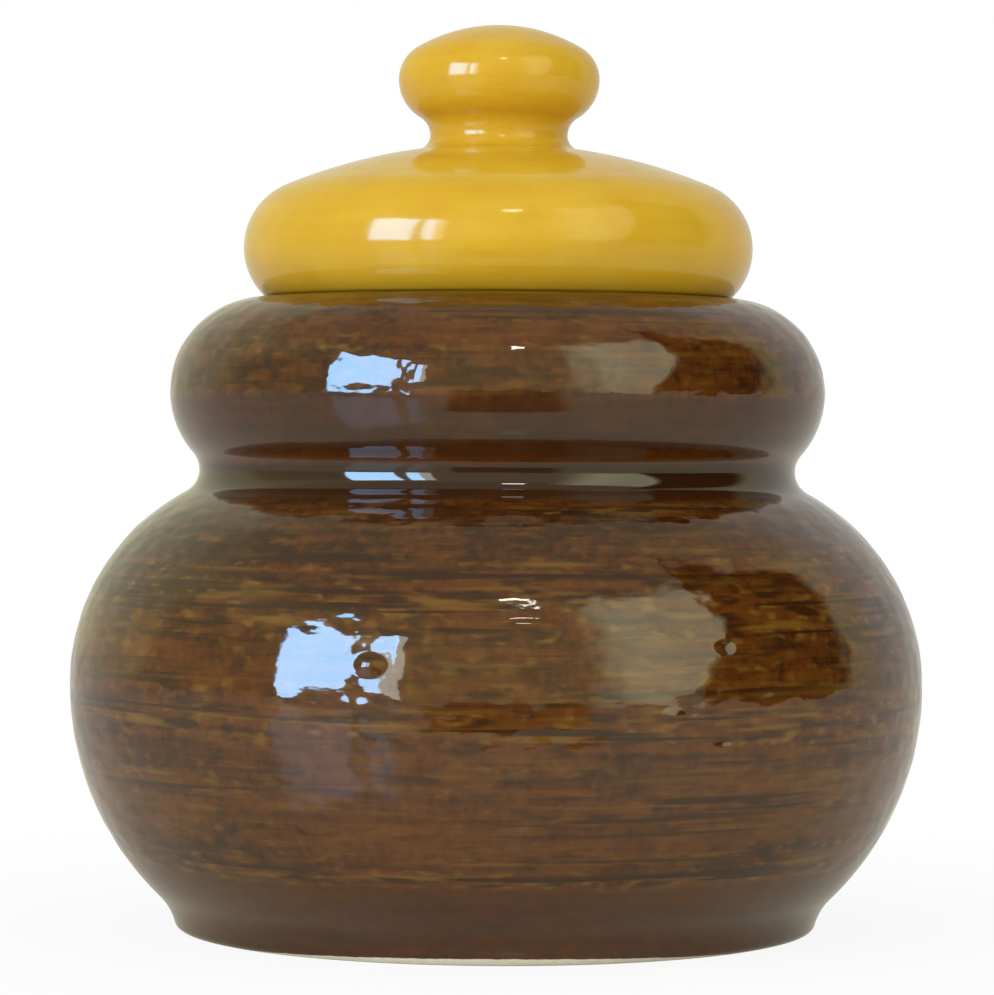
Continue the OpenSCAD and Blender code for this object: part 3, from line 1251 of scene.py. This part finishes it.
@dataclass
class Lid:
    """The domed lid with its flange, and the knob stuck on its neck, in millimetres.

    Attributes:
        seat_x: Radius at which the pot's seat runs into its collar.
        seat_z: Height of the seat.
        mouth_rad: Radius of the pot's mouth.
        widest_turn: Largest turn between two points on a curve, in degrees.
    """

    seat_x: float
    seat_z: float
    mouth_rad: float
    lid_overhang: float = 2.7
    lid_edge_r: float = 8.7
    lid_tuck: float = 2.9
    rim_edge_r: float = 1.3
    dome_r: float = 72.0
    lid_wall: float = 4.0
    lid_clear: float = 0.8
    flange_h: float = 6.0
    flange_w: float = 3.5
    flange_edge_r: float = 1.0
    neck_d: float = 17.8
    neck_foot_r: float = 2.0
    neck_cove_r: float = 2.7
    knob_d: float = 26.0
    knob_low_r: float = 5.7
    knob_top_r: float = 4.7
    knob_dome_r: float = 21.0
    spacing: dict[Zone, float] = field(
        default_factory=lambda: {
            Zone.DABBED: 0.6,
            Zone.PLAIN: 0.4,
            Zone.INSIDE: 2.0,
            Zone.BARE: 1.0,
        }
    )
    widest_turn: float = 7.0
    ripples: tuple[Ripple, ...] = (Ripple("lid_waves", 16.0, 7.0, 0.05),)
    wheel: Wheel = Wheel(240)

    def __post_init__(self) -> None:
        """Work out the centres of the arcs from the sizes."""
        edge_x = self.seat_x + self.lid_overhang - self.lid_edge_r
        edge_h = leg(self.lid_edge_r, self.lid_edge_r - self.lid_tuck)
        self.edge_c = Vector((edge_x, self.seat_z + edge_h))
        rim_in = leg(self.lid_edge_r - self.rim_edge_r, edge_h - self.rim_edge_r)
        self.rim_c = Vector((edge_x + rim_in, self.seat_z + self.rim_edge_r))
        self.dome_c = Vector((0.0, self.edge_c.y - leg(self.dome_r - self.lid_edge_r, edge_x)))
        self.dome_end = bearing(self.dome_c, self.edge_c)
        self.neck_rad = self.neck_d / 2
        neck_foot_x = self.neck_rad + self.neck_foot_r
        self.neck_z = self.dome_c.y + leg(self.dome_r + self.neck_foot_r, neck_foot_x)
        self.neck_foot_c = Vector((neck_foot_x, self.neck_z))

    def outline(self) -> Outline:
        """Walk the half outline from under the middle of the dome, round the flange and rim, to the neck.

        Returns:
            The outline.
        """
        flange_rad = self.mouth_rad - self.lid_clear
        flange_in = flange_rad - self.flange_w
        round_r = self.flange_edge_r
        low_z = self.seat_z - self.flange_h
        ledge_z = self.seat_z + self.lid_wall
        edge_in = self.lid_edge_r - self.lid_wall
        ledge_end = math.degrees(math.asin((ledge_z - self.edge_c.y) / edge_in))
        rim_way = bearing(self.edge_c, self.rim_c)
        dome, edge, neck = self.dome_c, self.edge_c, self.neck_foot_c
        way = Outline(self.spacing, self.widest_turn)
        way.put(Vector((0.0, dome.y + self.dome_r - self.lid_wall)), Zone.INSIDE)
        way.arc(dome, self.dome_r - self.lid_wall, 90.0, self.dome_end, Zone.INSIDE)
        way.arc(edge, edge_in, self.dome_end, ledge_end, Zone.INSIDE)
        way.line(Vector((flange_in + round_r, ledge_z)), Zone.INSIDE)
        way.arc(Vector((flange_in + round_r, ledge_z - round_r)), round_r, 90.0, 180.0, Zone.INSIDE)
        way.line(Vector((flange_in, low_z + round_r)), Zone.INSIDE)
        way.arc(Vector((flange_in + round_r, low_z + round_r)), round_r, 180.0, 270.0, Zone.INSIDE)
        way.line(Vector((flange_rad - round_r, low_z)), Zone.INSIDE)
        way.arc(Vector((flange_rad - round_r, low_z + round_r)), round_r, -90.0, 0.0, Zone.INSIDE)
        way.line(Vector((flange_rad, self.seat_z)), Zone.INSIDE)
        way.line(Vector((self.rim_c.x, self.seat_z)), Zone.BARE)
        way.arc(self.rim_c, self.rim_edge_r, -90.0, rim_way, Zone.PLAIN)
        way.arc(edge, self.lid_edge_r, rim_way, self.dome_end, Zone.DABBED)
        way.arc(dome, self.dome_r, self.dome_end, bearing(dome, neck), Zone.DABBED)
        way.arc(neck, self.neck_foot_r, bearing(neck, dome), 180.0, Zone.PLAIN)
        way.line(Vector((0.0, self.neck_z)), Zone.INSIDE)
        return way

    def knob_outline(self) -> Outline:
        """Walk the half outline of the knob from the middle of the neck up to the crown.

        Returns:
            The outline.
        """
        cove_c = Vector((self.neck_rad + self.neck_cove_r, self.neck_z))
        low_x = self.knob_d / 2 - self.knob_low_r
        knob_z = self.neck_z + leg(self.knob_low_r + self.neck_cove_r, cove_c.x - low_x)
        low_c = Vector((low_x, knob_z))
        top_c = Vector((self.knob_d / 2 - self.knob_top_r, knob_z))
        crown_c = Vector((0.0, knob_z - leg(self.knob_dome_r - self.knob_top_r, top_c.x)))
        way = Outline(self.spacing, self.widest_turn)
        way.put(Vector((0.0, self.neck_z)), Zone.INSIDE)
        way.line(Vector((self.neck_rad, self.neck_z)), Zone.INSIDE)
        way.arc(cove_c, self.neck_cove_r, 180.0, bearing(cove_c, low_c), Zone.PLAIN)
        way.arc(low_c, self.knob_low_r, bearing(low_c, cove_c), 0.0, Zone.DABBED)
        way.arc(top_c, self.knob_top_r, 0.0, bearing(crown_c, top_c), Zone.DABBED)
        way.arc(crown_c, self.knob_dome_r, bearing(crown_c, top_c), 90.0, Zone.DABBED)
        return way

    def build(self, glaze: YellowGlaze) -> list[Piece]:
        """Turn the lid and the knob, glaze them and set them on their body.

        Args:
            glaze: Glaze of lid and knob.

        Returns:
            The lid and the knob.
        """
        material = glaze.make()
        pieces = []
        for node, outline in (("lid", self.outline()), ("knob", self.knob_outline())):
            piece = self.wheel.turn(f"{node}_glazed", outline)
            self.wheel.ripple(piece, self.ripples)
            self.wheel.finish(piece, material)
            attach(piece, "lid")
            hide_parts(node)
            pieces.append(piece)
        return pieces


class Seen(Enum):
    """What a lamp is for: light on the clay, or a mirror image in the glaze."""

    LIGHT = "light"
    MIRROR = "mirror"


@dataclass(frozen=True)
class Panel:
    """Flat lamp that faces the pot.

    Attributes:
        name: Name of the lamp.
        azimuth: Side that it stands on, in degrees to the right of the front.
        elevation: Height of its middle above the horizon, in degrees.
        width: Width, in metres.
        height: Height, in metres.
        distance: Distance from the pot, in metres.
        radiance: Brightness of its face in red, green and blue.
        seen: What the lamp is for.
    """

    name: str
    azimuth: float
    elevation: float
    width: float
    height: float
    distance: float
    radiance: Colour
    seen: Seen

    def hang(self, target: Vector) -> None:
        """Make the lamp and turn it to the pot.

        Args:
            target: Point that it faces.
        """
        side = math.radians(self.azimuth)
        rise = math.radians(self.elevation)
        way = Vector((math.sin(side) * math.cos(rise), -math.cos(side) * math.cos(rise), math.sin(rise)))
        bpy.ops.object.light_add(type="AREA", location=target + way * self.distance)
        lamp = bpy.context.active_object
        lamp.name = self.name
        lamp.rotation_euler = way.to_track_quat("Z", "Y").to_euler()
        light = lamp.data
        light.shape = "RECTANGLE"
        light.size = self.width
        light.size_y = self.height
        strongest = max(self.radiance)
        light.energy = math.pi * self.width * self.height * strongest
        light.color = [part / strongest for part in self.radiance]
        lamp.visible_camera = False
        lamp.visible_diffuse = self.seen is Seen.LIGHT
        lamp.visible_glossy = self.seen is Seen.MIRROR


@dataclass(frozen=True)
class Floor:
    """Pale floor that the pot stands on, and the table that the glaze mirrors in its place.

    Lengths are in metres, and the sides between which the table has a dark gap in front are in degrees.
    The floor turns white at some distance from the pot, and the mirrored table is dimmer near the pot, a
    painted shadow of the pot that ends at some distance from it.
    """

    size: float = 6.0
    colour: Colour = (0.88, 0.88, 0.87)
    white_out: Span = Span(0.05, 0.16, 0.90, 1.0)
    table: Colour = (0.81, 0.79, 0.61)
    table_behind: Colour = (0.72, 0.69, 0.60)
    table_turn: Span = Span(0.05, -0.05)
    # Painted shadow of the pot on the mirrored table, by distance from the pot.
    painted_table_shadow: Span = Span(0.038, 0.10, 0.68, 1.0)
    gap: Colour = (0.25, 0.16, 0.09)
    gap_left: Span = Span(-18.0, -14.0)
    gap_right: Span = Span(26.0, 18.0)
    gap_front: Span = Span(0.170, 0.172)
    polish: float = 0.05
    polish_gloss: float = 0.15

    def lay(self) -> Piece:
        """Lay the floor.

        Returns:
            The floor.
        """
        bpy.ops.object.select_all(action="DESELECT")
        bpy.ops.mesh.primitive_plane_add(size=self.size)
        floor = bpy.context.active_object
        floor.name = "floor"
        material, recipe = new_material("pale_floor")
        direct, mirrored = recipe.rays()
        place = recipe.add("ShaderNodeNewGeometry").outputs["Position"]
        _, front, side = recipe.heading(place)
        far = recipe.add("ShaderNodeVectorMath", place, operation="LENGTH").outputs["Value"]
        matte = recipe.add("ShaderNodeBsdfDiffuse", self.colour).outputs[0]
        white = recipe.add("ShaderNodeEmission", WHITE).outputs[0]
        shown = recipe.mingle(recipe.spread(far, self.white_out), matte, white)
        gap = recipe.within((side, self.gap_left), (side, self.gap_right), (front, self.gap_front))
        table = recipe.blend(recipe.spread(front, self.table_turn), self.table, self.table_behind)
        table = recipe.blend(gap, table, self.gap)
        # Painted shadow: the mirrored table glows dimmer close to the pot.
        cream = recipe.add("ShaderNodeEmission", table, recipe.spread(far, self.painted_table_shadow)).outputs[0]
        polish = recipe.add("ShaderNodeBsdfGlossy")
        polish.inputs["Roughness"].default_value = self.polish_gloss
        image = recipe.mingle(self.polish, cream, polish.outputs[0])
        lit = recipe.mingle(mirrored, matte, image)
        recipe.add("ShaderNodeOutputMaterial", recipe.mingle(direct, lit, shown))
        floor.data.materials.append(material)
        return floor


@dataclass(frozen=True)
class Room:
    """Room round the pot: white behind it, an even light, and what the glaze mirrors of the walls.

    Sides are in degrees to the right of the front, and a rise is the upward part of a direction of length 1.
    The dark door on the right has a jamb and an end, given at the horizon, that lean to the right by so many
    degrees for each 1 of rise, and a head that changes its rise by its slope for each degree to the right.
    The curtain hangs before the jamb. Each span says where a wall, the door or the curtain begins or ends.
    """

    ambient: Colour = (0.77, 0.76, 0.74)
    wall: Colour = (0.83, 0.79, 0.46)
    ceiling: Colour = (0.56, 0.53, 0.38)
    ceiling_rise: Span = Span(0.55, 0.75)
    left_wall: Colour = (0.54, 0.51, 0.32)
    left_begin: Span = Span(-115.0, -100.0)
    left_end: Span = Span(-50.0, -65.0)
    left_top: Span = Span(0.60, 0.35)
    behind_left: Colour = (0.75, 0.74, 0.54)
    behind_right: Colour = (0.67, 0.66, 0.61)
    behind_turn: Span = Span(-0.3, 0.3)
    behind_begin: Span = Span(0.35, 0.65)
    shade: Colour = (0.05, 0.035, 0.015)
    jamb_side: float = 55.5
    jamb_lean: float = 27.0
    jamb: Span = Span(0.0, 2.0)
    end_side: float = 108.0
    end_lean: float = 19.0
    end: Span = Span(-3.0, 9.0)
    head_rise: float = 1.62
    head_slope: float = -0.0088
    head: Span = Span(-0.01, 0.05)
    curtain: Colour = (2.9, 2.9, 1.95)
    curtain_begin: Span = Span(21.0, 41.0)
    curtain_jamb: Span = Span(0.0, -2.0)
    curtain_fold: Span = Span(40.0, 60.0, 1.0, 0.75)
    curtain_top: Span = Span(0.80, 0.72)
    curtain_low: Span = Span(0.0, 0.12, 0.75, 1.0)

    def fill(self) -> None:
        """Make the room the scene's world."""
        world = bpy.data.worlds.new("studio")
        bpy.context.scene.world = world
        world.use_nodes = True
        world.cycles.sampling_method = "NONE"
        recipe = Recipe(world.node_tree)
        direct, mirrored = recipe.rays()
        light = recipe.blend(mirrored, self.ambient, self._walls(recipe))
        sky = recipe.add("ShaderNodeBackground", recipe.blend(direct, light, WHITE))
        recipe.add("ShaderNodeOutputWorld", sky.outputs[0])

    def _walls(self, recipe: Recipe) -> Socket:
        """Paint the walls, the door and the window.

        Args:
            recipe: World of the scene.

        Returns:
            The colour in each direction.
        """
        (right, back, rise), _, side = recipe.heading(recipe.add("ShaderNodeTexCoord").outputs["Generated"])
        walls = recipe.blend(recipe.spread(rise, self.ceiling_rise), self.wall, self.ceiling)
        left = recipe.within((side, self.left_begin), (side, self.left_end), (rise, self.left_top))
        walls = recipe.blend(left, walls, self.left_wall)
        behind = recipe.blend(recipe.spread(right, self.behind_turn), self.behind_left, self.behind_right)
        walls = recipe.blend(recipe.spread(back, self.behind_begin), walls, behind)
        past_jamb = recipe.math("SUBTRACT", side, self.jamb_side)
        past_jamb = recipe.math("MULTIPLY_ADD", rise, -self.jamb_lean, past_jamb)
        before_end = recipe.math("SUBTRACT", self.end_side, side)
        before_end = recipe.math("MULTIPLY_ADD", rise, self.end_lean, before_end)
        head = recipe.math("MULTIPLY_ADD", side, self.head_slope, self.head_rise)
        under_head = recipe.math("SUBTRACT", head, rise)
        curtain = recipe.within(
            (side, self.curtain_begin),
            (past_jamb, self.curtain_jamb),
            (side, self.curtain_fold),
            (rise, self.curtain_top),
            (rise, self.curtain_low),
        )
        walls = recipe.blend(curtain, walls, self.curtain)
        door = recipe.within((past_jamb, self.jamb), (before_end, self.end), (under_head, self.head))
        return recipe.blend(door, walls, self.shade)


@dataclass
class Studio:
    """Plain white studio with floor, room, lamps that face the target, and the camera.

    The camera's place and near end are in metres, its pitch downwards and its roll in degrees, and its lens
    and sensor in millimetres.
    """

    target: Vector
    camera_place: tuple[float, float, float] = (0.0, -0.520, 0.0631)
    camera_pitch: float = 0.83
    camera_roll: float = 0.30
    camera_lens: float = 145.1
    camera_sensor: float = 36.0
    camera_near: float = 0.01
    floor: Floor = Floor()
    room: Room = Room()
    panels: tuple[Panel, ...] = (
        Panel("key_lamp", -38.0, 24.0, 1.0, 1.0, 1.2, (2.0, 2.0, 2.14), Seen.LIGHT),
        Panel("fill_lamp", 30.0, 6.0, 0.9, 0.9, 1.2, (0.85, 0.77, 0.50), Seen.LIGHT),
        Panel("left_window_outer", -48.5, 15.6, 0.36, 0.55, 1.0, (7.1, 12.9, 20.4), Seen.MIRROR),
        Panel("left_window_inner", -31.2, 15.6, 0.085, 0.55, 1.0, (7.1, 12.9, 20.4), Seen.MIRROR),
        Panel("left_window_frame", -26.6, 15.6, 0.080, 0.55, 1.0, (4.3, 4.6, 4.2), Seen.MIRROR),
        Panel("small_lamp", 7.2, 45.5, 0.12, 0.05, 1.0, (24.0, 23.0, 20.0), Seen.MIRROR),
    )

    def build(self) -> None:
        """Set up floor, room, lamps, camera and colour view."""
        self.floor.lay()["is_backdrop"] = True
        self.room.fill()
        for panel in self.panels:
            panel.hang(self.target)
        self._camera()
        bpy.context.scene.view_settings.view_transform = "Standard"

    def _camera(self) -> None:
        """Put the camera where the picture was taken from."""
        bpy.ops.object.camera_add(location=self.camera_place)
        camera = bpy.context.active_object
        camera.name = "camera"
        camera.data.lens = self.camera_lens
        camera.data.sensor_width = self.camera_sensor
        camera.data.clip_start = self.camera_near
        pitch = math.radians(90.0 - self.camera_pitch)
        roll = math.radians(self.camera_roll)
        turn = Euler((pitch, 0.0, 0.0)).to_matrix() @ Euler((0.0, 0.0, roll)).to_matrix()
        camera.rotation_euler = turn.to_euler()
        bpy.context.scene.camera = camera


def main() -> None:
    """Load the frame, build the pieces and the studio, and aim the lamps at the middle of the frame's box.
    """
    logging.basicConfig(level=logging.INFO, format="%(name)s: %(message)s")
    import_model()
    frame_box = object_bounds()
    pot = Pot()
    lid = Lid(pot.collar_x, pot.seat_z, pot.mouth_rad)
    for piece in (pot.build(BrownGlaze()), *lid.build(YellowGlaze())):
        LOG.info("%s: %d faces", piece.name, len(piece.data.polygons))
    low, high = frame_box
    studio = Studio(target=(low + high) / 2)
    studio.build()


if __name__ == "__main__":
    main()
